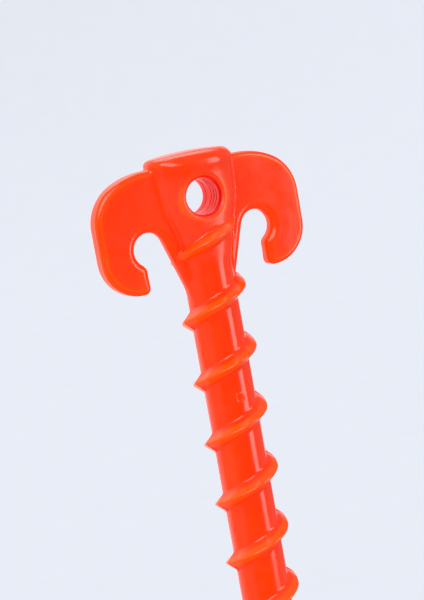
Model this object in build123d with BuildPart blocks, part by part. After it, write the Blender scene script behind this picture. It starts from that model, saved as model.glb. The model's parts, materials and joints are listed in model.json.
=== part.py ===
"""Screw-in plastic tent stake, 255 mm long, in named regions that meet face to face.

The origin is the point of the stake on the shank axis. +Z runs up the shank to the
striking cap, X runs across the two hooks, and Y runs through the eye.
All sizes are in millimetres, and heights named ..._RISE or ..._DROP are from the eye.
"""

from math import cos, radians, sin, sqrt, tan
import os

from build123d import *

# Overall
LENGTH = 255.0            # point to the crown of the striking cap
CAP_RISE = 16.5           # crown of the cap above the centre of the eye
EYE_Z = LENGTH - CAP_RISE

# Shank and point
CORE_R = 9.0
POINT_LENGTH = 42.0
POINT_TIP_R = 1.5
POINT_TIP_ROUND = 1.0

# Screw flight: a right-hand ridge of nearly triangular section
PITCH = 22.4
TURNS = 9
FLIGHT_TOP_DROP = 9.2     # where the crest runs into the right side of the head
CREST_R = 12.5
CREST_ROUND = 1.0
FLANK_ANGLE = 40.0        # of each flank, from the plane square to the shank
ROOT_DEPTH = 2.6          # how far the ridge goes on inside the core
ROOT_SHOULDER = 0.4       # depth at which its flanks turn square to the axis
FADE_TOP_Z = 56.0         # the crest starts to come down here, above the point
FADE_END_Z = 24.0
FADE_END_R = 5.0

# Neck round the eye: oval sections that widen from the shank to the cap
NECK_DROP = 25.0
NECK_TOP_RISE = 12.0
NECK_SECTIONS = (         # height from the eye, half width, half depth
    (-NECK_DROP, CORE_R, CORE_R),
    (-18.0, 10.6, 9.2),
    (-9.0, 12.8, 9.5),
    (1.0, 15.2, 9.8),
    (NECK_TOP_RISE, 16.0, 10.2),
)
EYE_R = 6.5
EYE_ROUND = 2.0

# Striking cap
CAP_HALF_WIDTH = 16.7
CAP_HALF_DEPTH = 10.6
CAP_CROWN_R = 105.0
CAP_EDGE_ROUND = 2.2

# Head plate with the two hooks
PLATE_T = 7.0
PLATE_ROUND = 1.7
HALF_SPAN = 40.0          # shank axis to the outside of a hook
SHOULDER_R = 15.5
SHOULDER_DROP = 4.7       # centre of the shoulder arc, below the eye
CROWN_R = 28.0            # flatter arc from the shoulder in to the cap
CROWN_START = 60.0        # angle round the shoulder where that arc begins
HEEL_R = 13.6
HEEL_DROP = 16.3
THROAT_R = 5.9
THROAT_X = 21.2
THROAT_DROP = 14.8
TIP_X = 23.4              # inner side of the hook's tip
TIP_ROUND = 2.4
LIP_ROUND = 1.4
WEB_ANGLE = 18.4          # of the free edge of a web, from the shank axis
WEB_FOOT_X = 5.0          # the web's edge is drawn on to here, inside the shank
WEB_SPLIT_DROP = 13.0     # a web ends and its hook begins at this height

os.makedirs("parts", exist_ok=True)

head_plane = Plane(origin=(0, 0, EYE_Z), x_dir=(1, 0, 0), z_dir=(0, -1, 0))


def turned(centre, radius, angle):
    """The point at an angle, in degrees, on a circle."""
    return (centre[0] + radius * cos(radians(angle)), centre[1] + radius * sin(radians(angle)))


# --- Head plate: both hooks and both webs in one outline, cut apart further down ---

shoulder = (HALF_SPAN - SHOULDER_R, -SHOULDER_DROP)
crown = turned(shoulder, SHOULDER_R - CROWN_R, CROWN_START)
heel = (HALF_SPAN - HEEL_R, -HEEL_DROP)
throat = (THROAT_X, -THROAT_DROP)
tip = (TIP_X, heel[1] - HEEL_R)
lip = (TIP_X, throat[1] - sqrt(THROAT_R**2 - (TIP_X - THROAT_X) ** 2))
lip_angle = -Vector(1, 0).get_angle(Vector(lip[0] - throat[0], lip[1] - throat[1]))
web_top = turned(throat, THROAT_R, 180 - WEB_ANGLE)
web_foot = (WEB_FOOT_X, web_top[1] - (web_top[0] - WEB_FOOT_X) / tan(radians(WEB_ANGLE)))
plate_top = crown[1] + CROWN_R

with BuildPart() as head_plate:
    with BuildSketch(head_plane) as outline:
        with BuildLine():
            Line((0, web_foot[1]), (0, plate_top))
            Line((0, plate_top), (crown[0], plate_top))
            CenterArc(crown, CROWN_R, 90, CROWN_START - 90)
            CenterArc(shoulder, SHOULDER_R, CROWN_START, -CROWN_START)
            Line((HALF_SPAN, shoulder[1]), (HALF_SPAN, heel[1]))
            CenterArc(heel, HEEL_R, 0, -90)
            Line((heel[0], tip[1]), tip)
            Line(tip, lip)
            CenterArc(throat, THROAT_R, lip_angle, 180 - WEB_ANGLE - lip_angle)
            Line(web_top, web_foot)
            Line(web_foot, (0, web_foot[1]))
        make_face()
        fillet(outline.vertices().sort_by_distance(tip)[0], TIP_ROUND)
        fillet(outline.vertices().sort_by_distance(lip)[0], LIP_ROUND)
        mirror(about=Plane.YZ)
    extrude(amount=PLATE_T / 2, both=True)
    fillet(head_plate.faces().filter_by(Axis.Y).edges(), PLATE_ROUND)

# --- Shank: the plain round core between the point and the neck ---

with BuildPart() as shank:
    with BuildSketch(Plane.XY.offset(POINT_LENGTH)):
        Circle(CORE_R)
    extrude(amount=EYE_Z - NECK_DROP - POINT_LENGTH)

# --- Point: the core drawn in to a blunt end ---

with BuildPart() as point:
    with BuildSketch(Plane.XZ) as point_profile:
        with BuildLine():
            Polyline((0, 0), (POINT_TIP_R, 0), (CORE_R, POINT_LENGTH), (0, POINT_LENGTH), close=True)
        make_face()
        fillet(point_profile.vertices().sort_by_distance((POINT_TIP_R, 0))[0], POINT_TIP_ROUND)
    revolve(axis=Axis.Z)

# --- Striking cap: an oval pad with a low crown, for a mallet or a palm ---

with BuildPart() as striking_cap:
    with BuildSketch(Plane.XY.offset(EYE_Z + NECK_TOP_RISE)):
        Ellipse(CAP_HALF_WIDTH, CAP_HALF_DEPTH)
    extrude(amount=CAP_RISE - NECK_TOP_RISE + CAP_EDGE_ROUND)
    with Locations((0, 0, LENGTH - CAP_CROWN_R)):
        Sphere(CAP_CROWN_R, mode=Mode.INTERSECT)
    fillet(striking_cap.faces().sort_by(Axis.Z)[-1].edges(), CAP_EDGE_ROUND)

# --- Eye neck: the thick oval body that carries the eye and joins cap, hooks and shank ---

with BuildPart() as eye_neck:
    for height, half_width, half_depth in NECK_SECTIONS:
        with BuildSketch(Plane.XY.offset(EYE_Z + height)):
            Ellipse(half_width, half_depth)
    loft()
    with BuildSketch(head_plane):
        Circle(EYE_R)
    extrude(amount=CAP_HALF_DEPTH, both=True, mode=Mode.SUBTRACT)
    fillet(eye_neck.edges().filter_by(lambda edge: abs(edge.center().Z - EYE_Z) < EYE_R / 2), EYE_ROUND)

# --- Hooks and webs: the head plate less the body it grows from ---


def side_of_plate(side):
    """One side of the head plate, outside the cap, neck and shank; side is 1 or -1."""
    with BuildPart() as lobe:
        add(head_plate.part)
        add(striking_cap.part, mode=Mode.SUBTRACT)
        add(eye_neck.part, mode=Mode.SUBTRACT)
        add(shank.part, mode=Mode.SUBTRACT)
    return lobe.part.solids().sort_by(Axis.X)[0 if side < 0 else -1]


web_zone_width = THROAT_X
web_zone_height = EYE_Z / 2


def web_zone(side):
    """The space beside the shank, below the throat of the hook, that holds one web."""
    centre = (side * web_zone_width / 2, 0, EYE_Z - WEB_SPLIT_DROP - web_zone_height / 2)
    return Pos(*centre) * Box(web_zone_width, PLATE_T, web_zone_height)


left_zone = web_zone(-1)
right_zone = web_zone(1)
left_side = side_of_plate(-1)
right_side = side_of_plate(1)

with BuildPart() as left_web:
    add(left_side)
    add(left_zone, mode=Mode.INTERSECT)

with BuildPart() as right_web:
    add(right_side)
    add(right_zone, mode=Mode.INTERSECT)

with BuildPart() as left_hook:
    add(left_side)
    add(left_zone, mode=Mode.SUBTRACT)

with BuildPart() as right_hook:
    add(right_side)
    add(right_zone, mode=Mode.SUBTRACT)

# --- Screw flight: the ridge swept up the core and faded out over the point ---

flight_bottom = EYE_Z - FLIGHT_TOP_DROP - TURNS * PITCH
crest_sharp_r = CREST_R + CREST_ROUND * (1 / sin(radians(FLANK_ANGLE)) - 1)
shoulder_r = CORE_R - ROOT_SHOULDER
half_base = (crest_sharp_r - shoulder_r) * tan(radians(FLANK_ANGLE))
ridge_plane = Plane(origin=(0, 0, flight_bottom), x_dir=(1, 0, 0), z_dir=(0, -1, 0))

with BuildPart() as screw_flight:
    with BuildLine(Plane.XY.offset(flight_bottom)):
        Helix(pitch=PITCH, height=TURNS * PITCH, radius=CORE_R)
    with BuildSketch(ridge_plane) as ridge:
        with BuildLine():
            Polyline(
                (CORE_R - ROOT_DEPTH, -half_base),
                (shoulder_r, -half_base),
                (crest_sharp_r, 0),
                (shoulder_r, half_base),
                (CORE_R - ROOT_DEPTH, half_base),
                close=True,
            )
        make_face()
        fillet(ridge.vertices().sort_by_distance((crest_sharp_r, 0))[0], CREST_ROUND)
    sweep(is_frenet=True)
    with BuildSketch(Plane.XZ):
        with BuildLine():
            Polyline(
                (0, FADE_END_Z),
                (FADE_END_R, FADE_END_Z),
                (CREST_R + CREST_ROUND, FADE_TOP_Z),
                (CREST_R + CREST_ROUND, LENGTH),
                (0, LENGTH),
                close=True,
            )
        make_face()
    revolve(axis=Axis.Z, mode=Mode.INTERSECT)
    for neighbour in (shank, point, eye_neck, head_plate):
        add(neighbour.part, mode=Mode.SUBTRACT)

# --- Labels and files ---

striking_cap.part.label = "striking_cap"
eye_neck.part.label = "eye_neck"
left_hook.part.label = "left_hook"
right_hook.part.label = "right_hook"
left_web.part.label = "left_web"
right_web.part.label = "right_web"
shank.part.label = "shank"
screw_flight.part.label = "screw_flight"
point.part.label = "point"

for piece in (striking_cap, eye_neck, left_hook, right_hook, left_web, right_web, shank, screw_flight, point):
    export_step(piece.part, f"parts/{piece.part.label}.step")
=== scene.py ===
"""Looks of the screw-in tent stake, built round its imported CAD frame.

The stake is one glossy orange moulding. Its visible skin is the zero level of one smooth field,
`moulding`, written from the frame's own sizes. Each CAD node gets the part of that skin that lies
in its own region as a closed piece, so the pieces meet at hairline butt joints.
Shape functions work in millimetres, with x across the hooks, y through the eye and z above the eye.
"""

import json
import math

import bpy
import numpy as np
from mathutils import Matrix, Vector


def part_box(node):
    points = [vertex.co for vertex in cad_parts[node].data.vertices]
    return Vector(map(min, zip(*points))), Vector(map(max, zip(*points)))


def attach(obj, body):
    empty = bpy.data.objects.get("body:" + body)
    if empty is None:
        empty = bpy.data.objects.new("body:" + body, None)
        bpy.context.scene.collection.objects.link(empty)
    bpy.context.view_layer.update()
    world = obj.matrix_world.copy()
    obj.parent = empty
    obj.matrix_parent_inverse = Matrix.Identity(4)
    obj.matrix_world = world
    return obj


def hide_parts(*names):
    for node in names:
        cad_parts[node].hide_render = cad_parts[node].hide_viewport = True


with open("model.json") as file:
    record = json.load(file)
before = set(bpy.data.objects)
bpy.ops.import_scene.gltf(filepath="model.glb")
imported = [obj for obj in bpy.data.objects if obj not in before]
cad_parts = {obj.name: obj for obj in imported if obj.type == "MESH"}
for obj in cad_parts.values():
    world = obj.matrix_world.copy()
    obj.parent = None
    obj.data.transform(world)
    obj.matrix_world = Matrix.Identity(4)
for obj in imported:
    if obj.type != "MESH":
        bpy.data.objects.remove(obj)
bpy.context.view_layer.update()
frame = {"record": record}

MM = 0.001
mounts = {mount["name"]: mount for mount in frame["record"]["mounts"]}


def node_box(node):
    """Lowest and highest corner of a CAD node in millimetres, heights measured from the eye."""
    low, high = (np.array(corner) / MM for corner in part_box(node))
    low[2] -= EYE_Z
    high[2] -= EYE_Z
    return low, high


# Sizes taken from the frame
EYE_Z = mounts["eye"]["pos_m"][2] / MM
EYE_R = mounts["eye"]["dims"]["r_mm"]
THROAT_R = mounts["right_hook_seat"]["dims"]["r_mm"]
THROAT_X = mounts["right_hook_seat"]["pos_m"][0] / MM
THROAT_Z = mounts["right_hook_seat"]["pos_m"][2] / MM - EYE_Z
HALF_SPAN, PLATE_HALF = node_box("right_hook")[1][:2]
HOOK_BOTTOM = node_box("right_hook")[0][2]
CORE_R = node_box("shank")[1][0]
CREST_R = node_box("screw_flight")[1][1]
CAP_HALF_WIDTH, CAP_HALF_DEPTH, CAP_TOP = node_box("striking_cap")[1]
CAP_FOOT = node_box("striking_cap")[0][2]
NECK_FOOT = node_box("eye_neck")[0][2]
POINT_TOP = node_box("point")[1][2]
POINT_TIP = node_box("point")[0][2]
FLIGHT_FOOT = node_box("screw_flight")[0][2]

# --- Field tools: a field is negative inside the plastic and grows about 1 per mm outwards ---


def hypot_outside(a, b):
    return np.hypot(np.maximum(a, 0), np.maximum(b, 0))


def blend_union(a, b, radius):
    """Union of two fields with a concave fillet along the crease."""
    return np.maximum(radius, np.minimum(a, b)) - hypot_outside(radius - a, radius - b)


def rounded_cut(a, b, radius):
    """Intersection of two fields with a convex rounding along the edge."""
    return np.minimum(-radius, np.maximum(a, b)) + hypot_outside(radius + a, radius + b)


def smooth_step(value, low, high):
    t = np.clip((value - low) / (high - low), 0, 1)
    return t * t * (3 - 2 * t)


def smooth_curve(z, knots):
    """A smooth curve through (z, value) knots in rising z, flat outside them."""
    heights, values = np.array(knots, float).T
    slopes = np.diff(values) / np.diff(heights)
    before, after = slopes[:-1], slopes[1:]
    tangents = np.zeros(len(values))
    turning = before * after <= 0
    tangents[1:-1] = np.where(turning, 0, 2 * before * after / np.where(turning, 1, before + after))
    z = np.clip(z, heights[0], heights[-1])
    i = np.clip(np.searchsorted(heights, z) - 1, 0, len(slopes) - 1)
    step = (heights[1:] - heights[:-1])[i]
    t = (z - heights[i]) / step
    rise = values[i] * (1 + 2 * t) * (1 - t) ** 2 + values[i + 1] * t * t * (3 - 2 * t)
    return rise + step * (tangents[i] * t * (1 - t) ** 2 + tangents[i + 1] * t * t * (t - 1))


# --- Body: point, shank, neck and cap as one oval column ---

# Knots are (height, value), and the first ones are the point's radii
POINT_RADII = (
    (POINT_TIP, 1.4), (POINT_TIP + 3, 1.95), (POINT_TOP - 3, CORE_R - 0.6), (POINT_TOP + 4, CORE_R),
)
HALF_WIDTHS = POINT_RADII + (
    (NECK_FOOT - 1, CORE_R), (-17.5, 10.3), (-13.7, 11.0), (-9.9, 12.1), (-6.1, 13.4), (-2.1, 14.5),
    (2.2, 15.1), (6.5, 15.4), (10.0, 15.7), (13.0, 16.4), (CAP_TOP, CAP_HALF_WIDTH),
)
HALF_DEPTHS = POINT_RADII + (
    (NECK_FOOT - 1, CORE_R), (-20.0, 9.3), (4.0, 9.25), (7.0, 9.5), (11.5, 10.5), (12.2, CAP_HALF_DEPTH),
)
SQUARENESS = ((NECK_FOOT - 1, 2.0), (-12.0, 2.5), (CAP_TOP, 2.45))
CAP_CROWN_X = 105.0
CAP_CROWN_Y = 60.0
CAP_ROUND = 4.6
CAP_LEFT_ROUND = 2.3
CAP_LEFT_FROM = 7.0
CAP_LEFT_FULL = 16.0
TIP_ROUND = 1.0


def oval(x, y, half_width, half_depth, power):
    """Distance outside a superellipse, near enough close to its edge."""
    u = np.abs(x) / half_width
    v = np.abs(y) / half_depth
    size = np.maximum((u**power + v**power) ** (1 / power), 1e-3)
    slope = np.hypot((u / size) ** (power - 1) / half_width, (v / size) ** (power - 1) / half_depth)
    return (size - 1) / slope


def body(x, y, z):
    column = oval(x, y, smooth_curve(z, HALF_WIDTHS), smooth_curve(z, HALF_DEPTHS), smooth_curve(z, SQUARENESS))
    crown = z - CAP_TOP + x * x / (2 * CAP_CROWN_X) + y * y / (2 * CAP_CROWN_Y)
    cap_round = CAP_ROUND + (CAP_LEFT_ROUND - CAP_ROUND) * smooth_step(-x, CAP_LEFT_FROM, CAP_LEFT_FULL)
    column = rounded_cut(column, crown, cap_round)
    return rounded_cut(column, POINT_TIP - z, TIP_ROUND)


# --- Head plate: hooks and webs ---

SHOULDER_R = 15.5
SHOULDER_Z = -4.7
CROWN_R = 28.0
CROWN_START = math.radians(60)
HEEL_R = 13.6
TIP_X = 23.4
HOOK_TIP_ROUND = 2.6
LIP_ROUND = 1.6
WEB_ANGLE = math.radians(18.4)
OUTER_EDGE = 1.8
INNER_EDGE = 2.7
EDGE_CHANGE = (-2.0, 6.0)
PILLOW = 0.12
PILLOW_REACH = 6.0


def hook_outside(x, z):
    """Outline of the crown, shoulder, flank and heel of a hook, for x on its own side."""
    shoulder_x = HALF_SPAN - SHOULDER_R
    crown_x = shoulder_x - (CROWN_R - SHOULDER_R) * math.cos(CROWN_START)
    crown_z = SHOULDER_Z - (CROWN_R - SHOULDER_R) * math.sin(CROWN_START)
    heel_x = HALF_SPAN - HEEL_R
    heel_z = HOOK_BOTTOM + HEEL_R
    above = np.arctan2(z - SHOULDER_Z, x - shoulder_x)
    shoulder = np.hypot(x - shoulder_x, z - SHOULDER_Z) - SHOULDER_R
    crown = np.where(x > crown_x, np.hypot(x - crown_x, z - crown_z) - CROWN_R, z - crown_z - CROWN_R)
    top = np.where(above < CROWN_START, shoulder, crown)
    heel = np.where(x > heel_x, np.hypot(x - heel_x, z - heel_z) - HEEL_R, HOOK_BOTTOM - z)
    bottom = np.where(x > THROAT_X, heel, -HALF_SPAN)
    return np.where(z > SHOULDER_Z, top, np.where(z > heel_z, x - HALF_SPAN, bottom))


def hook_inside(x, z):
    """Outline of the throat, the web's free edge and the inner side of the tip."""
    throat = THROAT_R - np.hypot(x - THROAT_X, z - THROAT_Z)
    web_x = THROAT_X - THROAT_R * math.cos(WEB_ANGLE)
    web_z = THROAT_Z + THROAT_R * math.sin(WEB_ANGLE)
    past_web = (x - web_x) * math.cos(WEB_ANGLE) - (z - web_z) * math.sin(WEB_ANGLE)
    left = np.maximum(throat, np.minimum(past_web, web_z - z))
    right = rounded_cut(throat, np.minimum(TIP_X - x, THROAT_Z - z), LIP_ROUND)
    return np.where(x > THROAT_X, right, left)


def plate(x, y, z):
    x = np.abs(x)
    outside = hook_outside(x, z)
    inside = hook_inside(x, z)
    outline = rounded_cut(outside, inside, HOOK_TIP_ROUND)
    edge = OUTER_EDGE + (INNER_EDGE - OUTER_EDGE) * smooth_step(inside - outside, *EDGE_CHANGE)
    half = PLATE_HALF - PILLOW * np.exp(np.minimum(outline, 0) / PILLOW_REACH)
    return rounded_cut(outline, np.abs(y) - half, edge)


# --- Screw flight ---

PITCH = 22.4
TURNS = 9
FLIGHT_TOP = -9.2
FLANK = math.radians(39.5)
CREST_ROUND = 0.8
RELIEF = 1.25 * PITCH / (2 * math.pi * math.tan(FLANK)) / CORE_R
FADE_LENGTH = 24.0


def flank_distance(x, y, z, side):
    """Distance outside one flank of the ridge; side is 1 for the upper flank and -1 for the lower."""
    turn = np.arctan2(y, x) / (2 * math.pi) % 1
    crest_z = FLIGHT_TOP + PITCH * (turn - 1)
    lap = np.clip(np.round((z - crest_z) / PITCH), 1 - TURNS, 0)
    rise = z - crest_z - lap * PITCH
    fade = smooth_step(z, FLIGHT_FOOT, FLIGHT_FOOT + FADE_LENGTH)
    sharp_r = CREST_R + CREST_ROUND * (1 / math.sin(FLANK) - 1)
    apex = smooth_curve(z, POINT_RADII) + (sharp_r - CORE_R) * fade
    return side * rise * math.cos(FLANK) + (np.hypot(x, y) - apex) * math.sin(FLANK)


def ridge(x, y, z):
    """The ridge as two half moulds leave it: no flank undercuts the draw along Y."""
    y_upper = np.where(y < 0, np.minimum(y, np.where(x < 0, RELIEF * x, y)),
                       np.maximum(y, np.where(x > 0, RELIEF * x, y)))
    y_lower = np.where(y < 0, np.minimum(y, np.where(x > 0, -RELIEF * x, y)),
                       np.maximum(y, np.where(x < 0, -RELIEF * x, y)))
    return rounded_cut(flank_distance(x, y_upper, z, 1), flank_distance(x, y_lower, z, -1), CREST_ROUND)


# --- Whole moulding ---

LEFT_NECK_FILLET = 1.2
RIGHT_NECK_FILLET = 0.35
WEB_FILLET = 0.9
FILLET_CHANGE = (-20.0, -8.0)
RIDGE_FILLET = 0.45
EYE_ROUND = 2.2
EYE_DRAFT = math.radians(1.0)
EYE_RINGS = (-7.0, -4.6, -2.8, -0.6, 3.8)
EYE_RING_WIDTH = 0.3
EYE_RING_DEPTH = 0.12
MARK_R = 1.5
MARK_WIDTH = 0.3
MARK_HEIGHT = 0.22
MARK_X = -0.6
MARK_Z = -72.4
RIPPLE = 0.02


def eye(x, y, z):
    """Outside of the eye's core pins, which are drawn out at both ends and so taper to the middle."""
    rings = sum(np.exp(-((y - ring) / EYE_RING_WIDTH) ** 2) for ring in EYE_RINGS)
    return np.hypot(x, z) - EYE_R - (np.abs(y) - CORE_R / 2) * math.tan(EYE_DRAFT) - EYE_RING_DEPTH * rings


def gate_mark(x, y, z):
    """Height of the little ring left by a mould pin on the front of the shank."""
    from_ring = (np.hypot(x - MARK_X, z - MARK_Z) - MARK_R) / MARK_WIDTH
    return np.where(y < 0, MARK_HEIGHT * np.exp(-from_ring * from_ring), 0)


def ripple(x, y, z):
    """Slight unevenness that the plastic takes as it shrinks in the mould."""
    return RIPPLE * (np.sin(0.43 * x + 0.31 * z) * np.cos(0.38 * y - 0.17 * z) + np.sin(0.11 * z + 0.3 * x + 1.3 * y))


def plate_fillet(x, z):
    """Radius of the fillet between the head plate and the body."""
    neck_fillet = np.where(x < 0, LEFT_NECK_FILLET, RIGHT_NECK_FILLET)
    return WEB_FILLET + (neck_fillet - WEB_FILLET) * smooth_step(z, *FILLET_CHANGE)


def moulding(x, y, z):
    solid = blend_union(body(x, y, z), plate(x, y, z), plate_fillet(x, z))
    solid = blend_union(solid, ridge(x, y, z), RIDGE_FILLET)
    solid = rounded_cut(solid, -eye(x, y, z), EYE_ROUND)
    return solid - gate_mark(x, y, z) - ripple(x, y, z)


# --- Skinning: closed meshes of the moulding inside a set of cuts ---

PROBES = np.array(((1, 1, 1), (1, -1, -1), (-1, 1, -1), (-1, -1, 1)))
BLOCK = 4


def gradient(field, points, step=0.008):
    """Gradient of a field at an N by 3 array of points, from four probes round each point."""
    return sum(probe * field(*(points + step * probe).T)[:, None] for probe in PROBES) / (4 * step)


def sample(fields, low, blocks, cell):
    """Every field on a grid of blocks; a block far from the surface takes the values at its middle."""
    starts = [low[i] + cell * BLOCK * np.arange(blocks[i]) for i in range(3)]
    middles = [start + cell * (BLOCK - 1) / 2 for start in starts]
    coarse = np.stack([field(*np.meshgrid(*middles, indexing="ij")) for field in fields])
    near = np.argwhere(np.abs(coarse.max(0)) < 1.3 * cell * BLOCK)
    values = coarse.repeat(BLOCK, 1).repeat(BLOCK, 2).repeat(BLOCK, 3)
    inner = np.stack(np.meshgrid(*[np.arange(BLOCK)] * 3, indexing="ij"), -1).reshape(-1, 3)
    index = (near[:, None, :] * BLOCK + inner).reshape(-1, 3)
    points = low + cell * index
    for k, field in enumerate(fields):
        values[(k,) + tuple(index.T)] = field(*points.T)
    return values


def settle(points, active, fields, home, reach, rounds=5):
    """Moves each point on to every surface that is active for it, staying near its home."""
    for _ in range(rounds):
        values = np.zeros((len(points), len(fields)))
        slopes = np.zeros((len(points), len(fields), 3))
        for k, field in enumerate(fields):
            use = active[:, k]
            if use.any():
                values[use, k] = field(*points[use].T)
                slopes[use, k] = gradient(field, points[use])
        gram = np.einsum("nki,nli->nkl", slopes, slopes)
        gram += np.eye(len(fields)) * np.where(active, 1e-6, 1.0)[:, None, :]
        push = np.linalg.solve(gram, values[:, :, None])[:, :, 0]
        points = points - np.einsum("nk,nki->ni", push, slopes)
        points = np.clip(points, home - reach, home + reach)
    return points


def skin(fields, low, high, cell):
    """Closed mesh of the space where every field is negative: points, quads and each quad's field."""
    blocks = np.ceil(((high - low) / cell + 1) / BLOCK).astype(int)
    values = sample(fields, low, blocks, cell)
    inside = values.max(0) < 0
    cells = blocks * BLOCK - 1
    crossings, owners, labels, quads = [], [], [], []
    for axis in range(3):
        near = [slice(None)] * 3
        far = [slice(None)] * 3
        near[axis] = slice(None, -1)
        far[axis] = slice(1, None)
        starts = np.argwhere(inside[tuple(near)] != inside[tuple(far)])
        ends = starts + np.eye(3, dtype=int)[axis]
        leaving = inside[tuple(starts.T)]
        within = np.where(leaving[:, None], starts, ends)
        beyond = np.where(leaving[:, None], ends, starts)
        a = values[(slice(None),) + tuple(within.T)]
        b = values[(slice(None),) + tuple(beyond.T)]
        share = np.where(b >= 0, a / np.where(b >= 0, a - b, 1), 2)
        label = share.argmin(0)
        where = low + cell * (within + (beyond - within) * share.min(0)[:, None])
        u, v = (axis + 1) % 3, (axis + 2) % 3
        corners = []
        for du, dv in ((0, 0), (1, 0), (1, 1), (0, 1)):
            owner = starts.copy()
            owner[:, u] -= du
            owner[:, v] -= dv
            corners.append(np.ravel_multi_index(tuple(owner.T), tuple(cells)))
            owners.append(corners[-1])
            crossings.append(where)
            labels.append(label)
        corners = np.stack(corners, 1)
        quads.append((np.where(leaving[:, None], corners[:, ::-1], corners)[:, ::-1], label))
    owners, crossings, labels = np.concatenate(owners), np.concatenate(crossings), np.concatenate(labels)
    used, index = np.unique(owners, return_inverse=True)
    total = np.bincount(index)
    points = np.stack([np.bincount(index, crossings[:, i]) / total for i in range(3)], 1)
    active = np.zeros((len(used), len(fields)), bool)
    active[index, labels] = True
    home = low + cell * (np.stack(np.unravel_index(used, tuple(cells)), 1) + 0.5)
    edge = active.sum(1) > 1
    points[edge] = home[edge]
    faces = np.searchsorted(used, np.concatenate([q for q, _ in quads]))
    face_label = np.concatenate([label for _, label in quads])
    reach = cell * 0.75
    points = settle(points, active, fields, home, reach)
    for _ in range(3):
        points = relax(points, faces, edge)
        points = settle(points, active, fields, home, reach, rounds=2)
    return points, faces, face_label


def relax(points, faces, fixed):
    """Moves each free point half way to the middle of its neighbours."""
    ends = np.concatenate([faces[:, [i, (i + 1) % 4]] for i in range(4)])
    total = np.bincount(ends[:, 0], minlength=len(points))
    middle = np.stack([np.bincount(ends[:, 0], points[ends[:, 1], i], len(points)) for i in range(3)], 1)
    middle /= np.maximum(total, 1)[:, None]
    return np.where(fixed[:, None], points, (points + middle) / 2)


# --- Regions: which part of the moulding belongs to which CAD node ---

OVERLAP = 0.03
SEAM_DEPTH = 0.3
CELL = 0.38
MARGIN = 2.5
WEB_TOP = -13.0


def body_seam(x, y, z):
    """Negative where the body is nearest, so that it crosses the middle of each fillet squarely."""
    return body(x, y, z) - np.maximum(np.minimum(plate(x, y, z), ridge(x, y, z)), -SEAM_DEPTH)


def plate_seam(x, y, z):
    return plate(x, y, z) - np.maximum(ridge(x, y, z), -SEAM_DEPTH)


def within_body(x, y, z):
    return body_seam(x, y, z) - OVERLAP


def outside_body(x, y, z):
    return -body_seam(x, y, z)


def within_plate(x, y, z):
    return plate_seam(x, y, z) - OVERLAP


def outside_plate(x, y, z):
    return -plate_seam(x, y, z)


def above(height):
    return lambda x, y, z: height - z


def below(height):
    return lambda x, y, z: z - height


def on_side(side):
    return lambda x, y, z: -side * x


def web_zone(x, y, z):
    return np.maximum(z - WEB_TOP, np.abs(x) - THROAT_X)


def hook_zone(x, y, z):
    return -web_zone(x, y, z)


REGIONS = {
    "striking_cap": [above(CAP_FOOT), within_body],
    "eye_neck": [below(CAP_FOOT), above(NECK_FOOT), within_body],
    "left_hook": [outside_body, within_plate, hook_zone, on_side(-1)],
    "right_hook": [outside_body, within_plate, hook_zone, on_side(1)],
    "left_web": [outside_body, within_plate, web_zone, on_side(-1)],
    "right_web": [outside_body, within_plate, web_zone, on_side(1)],
    "shank": [below(NECK_FOOT), above(POINT_TOP), within_body],
    "screw_flight": [outside_body, outside_plate, below(FLIGHT_TOP + PITCH / 2)],
    "point": [below(POINT_TOP), within_body],
}


THIN_PROBE = 3.0
SIDE_PROBE = 4.5
HOLLOW_PROBE = 3.5
SATIN_EDGE = 0.8
SATIN_FOOT = (NECK_FOOT, NECK_FOOT + 6)
SATIN_TOP = (6.0, 11.0)


def unit(vectors):
    return vectors / np.maximum(np.linalg.norm(vectors, axis=1), 1e-9)[:, None]


def thinness(points, outward):
    """0 on a thick flat or broad round, rising to 1 on a thin edge or crest."""
    return np.clip(1 + moulding(*(points - THIN_PROBE * outward).T) / THIN_PROBE, 0, 1)


def side_probes(points, outward, reach, tilt):
    """The field at six places round each point, as far as reach away and tilted outwards by tilt."""
    across = unit(np.cross(outward, (0.36, 0.48, 0.8)))
    along = np.cross(outward, across)
    for turn in np.arange(6) * math.pi / 3:
        way = across * math.cos(turn) + along * math.sin(turn)
        yield moulding(*(points + reach * (way * math.cos(tilt) + outward * math.sin(tilt))).T)


def edge_nearness(points, outward):
    """0 far from any edge, rising to 1 where the plastic ends on every side."""
    return sum(smooth_step(value, -1.5, 1.0) for value in
               side_probes(points, outward, SIDE_PROBE, math.radians(-30))) / 6


def hollowness(points, outward):
    """0 on an open face, rising to 1 where other faces stand close round the point."""
    return sum(smooth_step(-value, -1.0, 1.0) for value in
               side_probes(points, outward, HOLLOW_PROBE, math.radians(30))) / 6


def satin(points, outward):
    """1 on the neck, where the gloss is drawn softer, and 0 elsewhere."""
    x, y, z = points.T
    own = smooth_step(np.minimum(plate(x, y, z), ridge(x, y, z)) - body(x, y, z), 0, SATIN_EDGE)
    return own * smooth_step(z, *SATIN_FOOT) * (1 - smooth_step(z, *SATIN_TOP))


MEASURES = {"thin": thinness, "edge": edge_nearness, "hollow": hollowness, "satin": satin}


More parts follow.
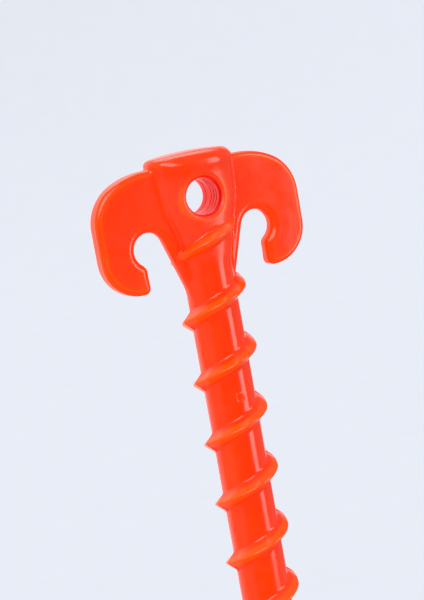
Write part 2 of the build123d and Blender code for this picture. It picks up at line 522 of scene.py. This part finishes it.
def plastic_piece(node, cuts):
    """The visible piece that stands for one CAD node."""
    low, high = node_box(node)
    fields = [moulding] + cuts
    cell_low = np.floor((low - MARGIN) / CELL) * CELL + 0.013
    points, faces, face_label = skin(fields, cell_low, high + MARGIN, CELL)
    normals = np.zeros((len(faces), 4, 3))
    for k, field in enumerate(fields):
        chosen = face_label == k
        if chosen.any():
            used, index = np.unique(faces[chosen], return_inverse=True)
            slope = gradient(field, points[used])
            slope /= np.maximum(np.linalg.norm(slope, axis=1), 1e-9)[:, None]
            normals[chosen] = slope[index.reshape(-1, 4)]
    mesh = bpy.data.meshes.new(node)
    place = (points + (0, 0, EYE_Z)) * MM
    mesh.from_pydata(place.tolist(), [], faces.tolist())
    mesh.shade_smooth()
    mesh.normals_split_custom_set(normals.reshape(-1, 3).tolist())
    outward = unit(gradient(moulding, points))
    for name, measure in MEASURES.items():
        measured = mesh.attributes.new(name, "FLOAT", "POINT")
        measured.data.foreach_set("value", measure(points, outward).astype(np.float32))
    piece = bpy.data.objects.new(node + "_skin", mesh)
    bpy.context.collection.objects.link(piece)
    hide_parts(node)
    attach(piece, "root")
    return piece


pieces = {node: plastic_piece(node, cuts) for node, cuts in REGIONS.items()}

# --- Material ---

THICK_COLOUR = (0.98, 0.045, 0.0010, 1)
# Painted light: paler orange painted on thin edges and crests, standing in for light shining through the plastic.
PAINTED_EDGE_GLOW_COLOUR = (1.0, 0.105, 0.0020, 1)
# Painted shade: redder colour in creases and hollows.
HOLLOW_SHADE_COLOUR = (0.95, 0.014, 0.0008, 1)
# Painted shade: darker crimson on the wall of the eye, and darker still along its rings.
EYE_WALL_SHADE_COLOUR = (0.88, 0.003, 0.012, 1)
EYE_RING_SHADE_COLOUR = (0.30, 0.0, 0.008, 1)
# Painted glow: a constant orange emission that keeps the red bright even in shade.
PAINTED_GLOW_COLOUR = (1.0, 0.020, 0.0, 1)
PAINTED_GLOW = 0.33
DUST_COLOUR = (1.0, 0.32, 0.16, 1)
DUST = 0.35
SPECULAR = 0.5
POLISH = (0.10, 0.17)
WORN_ROUGHNESS = 0.25
SATIN_ROUGHNESS = 0.14
PLASTIC_IOR = 1.49


def add_node(tree, kind, inputs=None, **settings):
    """A shader node with its settings, and its inputs given as values or as sockets to link from."""
    made = tree.nodes.new(kind)
    for name, value in settings.items():
        setattr(made, name, value)
    for name, value in (inputs or {}).items():
        if isinstance(value, bpy.types.NodeSocket):
            tree.links.new(value, made.inputs[name])
        else:
            made.inputs[name].default_value = value
    return made


def attribute(tree, name):
    return add_node(tree, "ShaderNodeAttribute", attribute_name=name).outputs["Fac"]


def math_node(tree, operation, *values):
    return add_node(tree, "ShaderNodeMath", dict(enumerate(values)), operation=operation).outputs[0]


def mix_colour(tree, share, first, second):
    inputs = {0: share, 6: first, 7: second}
    return add_node(tree, "ShaderNodeMix", inputs, data_type="RGBA").outputs[2]


def noise(tree, place, scale, detail=2.0, distortion=0.0):
    settings = {"Vector": place, "Scale": scale, "Detail": detail, "Distortion": distortion}
    return add_node(tree, "ShaderNodeTexNoise", settings).outputs["Fac"]


def ramp(tree, value, low, high, to_low=0.0, to_high=1.0):
    settings = {"Value": value, "From Min": low, "From Max": high, "To Min": to_low, "To Max": to_high}
    return add_node(tree, "ShaderNodeMapRange", settings, interpolation_type="SMOOTHSTEP").outputs["Result"]


def plastic_material():
    """Fluorescent orange plastic: red-orange where thick, lightly scuffed, with painted light and shade: a paler
    orange painted glow at thin edges, redder painted shade in hollows, darker painted shade on the eye wall and a
    faint painted glow all over.
    """
    material = bpy.data.materials.new("orange_plastic")
    material.use_nodes = True
    tree = material.node_tree
    shader = tree.nodes["Principled BSDF"]
    place = add_node(tree, "ShaderNodeTexCoord").outputs["Object"]
    # thin and edge set where the painted edge glow goes; hollow sets where painted shade goes.
    thin = ramp(tree, attribute(tree, "thin"), 0.02, 0.45)
    edge = ramp(tree, attribute(tree, "edge"), 0.02, 0.55, 0, 0.35)
    hollow = ramp(tree, attribute(tree, "hollow"), 0.15, 0.75)
    flow = noise(tree, place, 55, detail=3, distortion=0.6)
    scuff_grain = noise(tree, place, 1400, detail=6)
    scuff_patch = noise(tree, place, 120, detail=2)
    scuff = math_node(tree, "MULTIPLY", ramp(tree, scuff_grain, 0.60, 0.72), ramp(tree, scuff_patch, 0.52, 0.68))
    worn = math_node(tree, "MULTIPLY", scuff, math_node(tree, "ADD", thin, 0.25))
    # Share of the painted edge glow, with random tone from flow.
    orange = math_node(tree, "ADD", math_node(tree, "MAXIMUM", thin, edge), ramp(tree, flow, 0.3, 0.7, -0.10, 0.14))
    # Painted shade: hollows take less of the orange glow and more of the redder shade colour.
    orange = math_node(tree, "SUBTRACT", orange, math_node(tree, "MULTIPLY", hollow, 0.5))
    base_with_shade = mix_colour(tree, hollow, THICK_COLOUR, HOLLOW_SHADE_COLOUR)
    skin_colour = mix_colour(tree, orange, base_with_shade, PAINTED_EDGE_GLOW_COLOUR)
    # Painted shade inside the eye: its wall is darker crimson, darker still along the rings.
    within_eye, ring_shade = eye_masks(tree, place)
    lined = mix_colour(tree, ring_shade, EYE_WALL_SHADE_COLOUR, EYE_RING_SHADE_COLOUR)
    clean = mix_colour(tree, within_eye, skin_colour, lined)
    dusty = mix_colour(tree, math_node(tree, "MULTIPLY", worn, DUST), clean, DUST_COLOUR)
    # Painted shade on the gloss: the specular is turned down in hollows and on the eye wall.
    painted_gloss_shade = math_node(tree, "MAXIMUM", math_node(tree, "MULTIPLY", within_eye, 0.6), ramp(tree, hollow, 0.3, 0.9))
    tree.links.new(ramp(tree, painted_gloss_shade, 0, 1, SPECULAR, 0), shader.inputs["Specular IOR Level"])
    tree.links.new(dusty, shader.inputs["Base Color"])
    gloss = ramp(tree, noise(tree, place, 210, detail=4), 0.3, 0.7, *POLISH)
    roughness = math_node(tree, "ADD", gloss, math_node(tree, "MULTIPLY", worn, WORN_ROUGHNESS))
    soft = math_node(tree, "MULTIPLY", attribute(tree, "satin"), math_node(tree, "SUBTRACT", 1.0, within_eye))
    roughness = math_node(tree, "ADD", roughness, math_node(tree, "MULTIPLY", soft, SATIN_ROUGHNESS))
    tree.links.new(roughness, shader.inputs["Roughness"])
    shader.inputs["IOR"].default_value = PLASTIC_IOR
    # Painted glow: a constant orange emission, lit by no lamp, that keeps the red bright in shade.
    shader.inputs["Emission Color"].default_value = PAINTED_GLOW_COLOUR
    shader.inputs["Emission Strength"].default_value = PAINTED_GLOW
    tree.links.new(skin_bump(tree, place, scuff), shader.inputs["Normal"])
    return material


def eye_masks(tree, place):
    """1 on the wall of the eye and 0 elsewhere, and 1 along the rings that the core pins leave on it; the wall takes
    painted shade, darker still along the rings.
    """
    from_eye = add_node(tree, "ShaderNodeVectorMath", {0: place, 1: (0, 0, -EYE_Z * MM)}, operation="ADD").outputs[0]
    flat = add_node(tree, "ShaderNodeVectorMath", {0: from_eye, 1: (1, 0, 1)}, operation="MULTIPLY").outputs[0]
    radius = add_node(tree, "ShaderNodeVectorMath", {0: flat}, operation="LENGTH").outputs["Value"]
    within_eye = ramp(tree, radius, (EYE_R + 0.3) * MM, (EYE_R + 0.9) * MM, 1, 0)
    depth = add_node(tree, "ShaderNodeSeparateXYZ", {"Vector": place}).outputs["Y"]
    ring_shade = 0.0
    for ring in EYE_RINGS:
        from_ring = math_node(tree, "ABSOLUTE", math_node(tree, "SUBTRACT", depth, ring * MM))
        ring_shade = math_node(tree, "MAXIMUM", ring_shade, ramp(tree, from_ring, 0.25 * MM, 0.7 * MM, 1, 0))
    return within_eye, ring_shade


PARTING_EDGES = (0.04 * MM, 0.22 * MM)
PARTING_HEIGHT = 0.03 * MM
PEEL_HEIGHT = 0.012 * MM
GRAIN_HEIGHT = 0.0012 * MM
SCUFF_DEPTH = 0.008 * MM


def skin_bump(tree, place, scuff):
    """Parting line, faint orange peel and scuffs; heights are in metres."""
    depth = add_node(tree, "ShaderNodeSeparateXYZ", {"Vector": place}).outputs["Y"]
    parting = ramp(tree, math_node(tree, "ABSOLUTE", depth), *PARTING_EDGES, PARTING_HEIGHT, 0)
    peel = math_node(tree, "MULTIPLY", noise(tree, place, 330, detail=2), PEEL_HEIGHT)
    grain = math_node(tree, "MULTIPLY", noise(tree, place, 2600, detail=3), GRAIN_HEIGHT)
    height = math_node(tree, "ADD", math_node(tree, "ADD", peel, grain), parting)
    height = math_node(tree, "SUBTRACT", height, math_node(tree, "MULTIPLY", scuff, SCUFF_DEPTH))
    return add_node(tree, "ShaderNodeBump", {"Height": height, "Distance": 1.0}).outputs["Normal"]


plastic = plastic_material()
for piece in pieces.values():
    piece.data.materials.append(plastic)

# --- Stage: a pale floor that sweeps up into a wall all round ---

FLOOR_R = 1.5
SWEEP_R = 0.8
WALL_TOP = 2.6
PAPER_COLOUR = (0.81, 0.84, 0.915)
PAPER_GLOW = 0.72


def pale_floor():
    """Round floor with a curved sweep, seen by the camera only, so that it doesn't shade the stake."""
    bend = [math.radians(angle) for angle in range(0, 91, 6)]
    profile = [(0, 0), (FLOOR_R / 2, 0)]
    profile += [(FLOOR_R + SWEEP_R * math.sin(a), SWEEP_R * (1 - math.cos(a))) for a in bend]
    profile += [(FLOOR_R + SWEEP_R, WALL_TOP)]
    count = 96
    turns = [2 * math.pi * k / count for k in range(count)]
    points = [(r * math.cos(t), r * math.sin(t), z) for r, z in profile for t in turns]
    quads = [(j * count + k, j * count + (k + 1) % count, (j + 1) * count + (k + 1) % count, (j + 1) * count + k)
             for j in range(len(profile) - 1) for k in range(count)]
    mesh = bpy.data.meshes.new("floor")
    mesh.from_pydata(points, [], quads)
    mesh.shade_smooth()
    floor = bpy.data.objects.new("floor", mesh)
    bpy.context.collection.objects.link(floor)
    floor.visible_diffuse = floor.visible_glossy = floor.visible_shadow = False
    material = bpy.data.materials.new("paper")
    material.use_nodes = True
    tree = material.node_tree
    shader = tree.nodes["Principled BSDF"]
    place = add_node(tree, "ShaderNodeTexCoord").outputs["Object"]
    fibre = ramp(tree, noise(tree, place, 30, detail=5), 0.3, 0.7, 0.985, 1.0)
    tint = add_node(tree, "ShaderNodeVectorMath", {0: PAPER_COLOUR, "Scale": fibre}, operation="SCALE").outputs[0]
    tree.links.new(tint, shader.inputs["Emission Color"])
    shader.inputs["Emission Strength"].default_value = PAPER_GLOW
    shader.inputs["Base Color"].default_value = (*[c * (1 - PAPER_GLOW) for c in PAPER_COLOUR], 1)
    shader.inputs["Roughness"].default_value = 1.0
    shader.inputs["Specular IOR Level"].default_value = 0
    floor.data.materials.append(material)


pale_floor()

# --- Light: an even pale room, and cards that only show in the gloss ---

LIGHT_FROM = Vector((-0.6, 0.3, 0.74)).normalized()
ROOM_COLOUR = (0.97, 0.98, 1.0, 1)
ROOM_LIGHT = 1.3
ROOM_SLANT = 0.35
ROOM_IN_GLOSS = 0.25
CARD_DISTANCE = 2.6
NEAR_CARD_DISTANCE = 2.5
CARD_STEPS = 16


def room_light():
    """World light that is stronger from above and behind, and dim where the gloss mirrors it."""
    world = bpy.data.worlds.new("studio")
    bpy.context.scene.world = world
    world.use_nodes = True
    tree = world.node_tree
    background = tree.nodes["Background"]
    way = add_node(tree, "ShaderNodeTexCoord").outputs["Generated"]
    toward = add_node(tree, "ShaderNodeVectorMath", {0: way, 1: LIGHT_FROM}, operation="DOT_PRODUCT").outputs["Value"]
    room = math_node(tree, "MULTIPLY_ADD", toward, ROOM_SLANT * ROOM_LIGHT, (1 - ROOM_SLANT) * ROOM_LIGHT)
    gloss = add_node(tree, "ShaderNodeLightPath").outputs["Is Glossy Ray"]
    strength = add_node(tree, "ShaderNodeMix", {0: gloss, 2: room, 3: ROOM_IN_GLOSS}).outputs[0]
    tree.links.new(strength, background.inputs["Strength"])
    background.inputs["Color"].default_value = ROOM_COLOUR


def card(name, azimuths, elevations, radiance, fades=(0.25, 0.25), distance=CARD_DISTANCE):
    """A patch of a sphere round the stake that glows in its gloss; azimuth 0 is in front of the stake.

    fades are the shares of its width and of its height over which each edge goes clear.
    """
    centre = Vector((0, 0, EYE_Z * MM))
    points = []
    glow = []
    for i in range(CARD_STEPS + 1):
        for j in range(CARD_STEPS + 1):
            across, up = i / CARD_STEPS, j / CARD_STEPS
            elevation = elevations[0] + (elevations[1] - elevations[0]) * up
            azimuth = azimuths[0] + (azimuths[1] - azimuths[0]) * across
            a, e = math.radians(azimuth), math.radians(elevation)
            way = Vector((math.sin(a) * math.cos(e), -math.cos(a) * math.cos(e), math.sin(e)))
            points.append(centre + distance * way)
            side_fade = min(1, across / fades[0], (1 - across) / fades[0])
            glow.append(side_fade * min(1, up / fades[1], (1 - up) / fades[1]))
    row = CARD_STEPS + 1
    quads = [(i * row + j, i * row + j + 1, (i + 1) * row + j + 1, (i + 1) * row + j)
             for i in range(CARD_STEPS) for j in range(CARD_STEPS)]
    mesh = bpy.data.meshes.new(name)
    mesh.from_pydata(points, [], quads)
    mesh.attributes.new("glow", "FLOAT", "POINT").data.foreach_set("value", glow)
    made = bpy.data.objects.new(name, mesh)
    bpy.context.collection.objects.link(made)
    made.visible_camera = made.visible_diffuse = made.visible_shadow = False
    material = bpy.data.materials.new(name)
    material.use_nodes = True
    tree = material.node_tree
    tree.nodes.remove(tree.nodes["Principled BSDF"])
    emission = add_node(tree, "ShaderNodeEmission", {"Strength": radiance}).outputs[0]
    clear = add_node(tree, "ShaderNodeBsdfTransparent").outputs[0]
    share = ramp(tree, attribute(tree, "glow"), 0, 1)
    mixed = add_node(tree, "ShaderNodeMixShader", {0: share, 1: clear, 2: emission}).outputs[0]
    tree.links.new(mixed, tree.nodes["Material Output"].inputs["Surface"])
    mesh.materials.append(material)


room_light()
# Each card: name, azimuths, elevations in degrees, radiance, edge fades, distance
card("black_card", (-70, 30), (-60, 76), 0.01, (0.2, 0.2))
card("strip_box", (30, 56), (-26, 36), 4.4, (0.2, 0.15), NEAR_CARD_DISTANCE)
card("overhead_box", (85, 225), (40, 104), 3.6)
card("left_box", (-66, 6), (12, 62), 4.2, (0.25, 0.25), NEAR_CARD_DISTANCE)
card("left_fill", (-150, -60), (-45, 52), 0.3)
card("right_fill", (50, 112), (-45, 40), 0.4)
card("back_wall", (120, 240), (-30, 46), 0.85, (0.1, 0.1))
bpy.context.scene.view_settings.view_transform = "Standard"

# --- Camera ---

CAMERA_AZIMUTH = math.radians(-24.9)
CAMERA_ELEVATION = math.radians(8.35)
CAMERA_ROLL = math.radians(-10.23)
CAMERA_SHIFT = (-6.20, -36.57)
CAMERA_DISTANCE = 544.0
FOCAL_PX = 1542.5
FRAME_HEIGHT_PX = 600
SENSOR_MM = 36


def photo_camera():
    """Camera aimed from the front left of the head and a little above it, rolled so the stake leans."""
    sa, ca = math.sin(CAMERA_AZIMUTH), math.cos(CAMERA_AZIMUTH)
    se, ce = math.sin(CAMERA_ELEVATION), math.cos(CAMERA_ELEVATION)
    back = Vector((sa * ce, -ca * ce, se))
    level_right = Vector((ca, sa, 0))
    level_up = Vector((-sa * se, ca * se, ce))
    right = level_right * math.cos(CAMERA_ROLL) + level_up * math.sin(CAMERA_ROLL)
    up = level_up * math.cos(CAMERA_ROLL) - level_right * math.sin(CAMERA_ROLL)
    eye_centre = Vector((0, 0, EYE_Z))
    place = eye_centre + back * CAMERA_DISTANCE - right * CAMERA_SHIFT[0] + up * CAMERA_SHIFT[1]
    data = bpy.data.cameras.new("camera")
    camera = bpy.data.objects.new("camera", data)
    bpy.context.collection.objects.link(camera)
    camera.matrix_world = Matrix.Translation(place * MM) @ Matrix((right, up, back)).transposed().to_4x4()
    data.sensor_width = SENSOR_MM
    data.lens = FOCAL_PX * SENSOR_MM / FRAME_HEIGHT_PX
    data.clip_start, data.clip_end = 0.01, 50
    bpy.context.scene.camera = camera


photo_camera()
